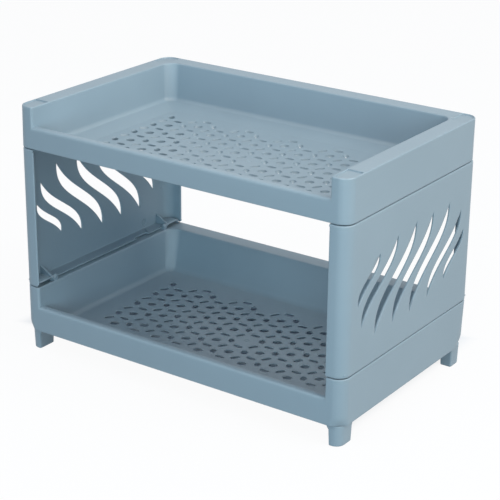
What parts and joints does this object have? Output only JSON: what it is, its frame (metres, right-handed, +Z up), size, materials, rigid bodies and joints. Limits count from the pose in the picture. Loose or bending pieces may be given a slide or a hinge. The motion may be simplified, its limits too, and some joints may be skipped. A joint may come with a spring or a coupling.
{
  "type": "foldable storage rack",
  "caption": "Two-tier moulded plastic rack: drained trays with low front lips, slotted side panels that fold inwards on hinge pins, a lift-off upper tray and corner feet.",
  "frame": {"origin": "under the middle of the rack, on the surface that its feet stand on", "axes": "+X to the rack's right side, +Y to its back (the front lips face -Y), +Z up"},
  "size_m": [0.4, 0.25, 0.2713],
  "materials": {
    "tray_plastic": "fine satin moulded surface, grey blue",
    "panel_plastic": "fine satin moulded surface, grey blue",
    "foot_plastic": "fine satin moulded surface, grey blue",
    "pin_plastic": "smooth moulded surface, grey blue"
  },
  "bodies": {
    "base": {"lower_tray": "tray_plastic", "front_left_foot": "foot_plastic", "front_right_foot": "foot_plastic", "back_left_foot": "foot_plastic", "back_right_foot": "foot_plastic", "front_left_hinge_pin": "pin_plastic", "front_right_hinge_pin": "pin_plastic", "back_left_hinge_pin": "pin_plastic", "back_right_hinge_pin": "pin_plastic"},
    "left_panel": {"left_panel": "panel_plastic"},
    "right_panel": {"right_panel": "panel_plastic"},
    "upper_tray": {"upper_tray": "tray_plastic"}
  },
  "joints": [
    {"name": "left_fold", "type": "hinge", "parent": "base", "child": "left_panel", "pos_m": [-0.1835, 0, 0.0766], "axis": [0, 1, 0], "range_deg": [0, 90]},
    {"name": "right_fold", "type": "hinge", "parent": "base", "child": "right_panel", "pos_m": [0.1835, 0, 0.0766], "axis": [0, -1, 0], "range_deg": [0, 90]},
    {"name": "upper_tray_lift", "type": "slide", "parent": "base", "child": "upper_tray", "axis": [0, 0, 1], "range_m": [0, 0.2]}
  ]
}
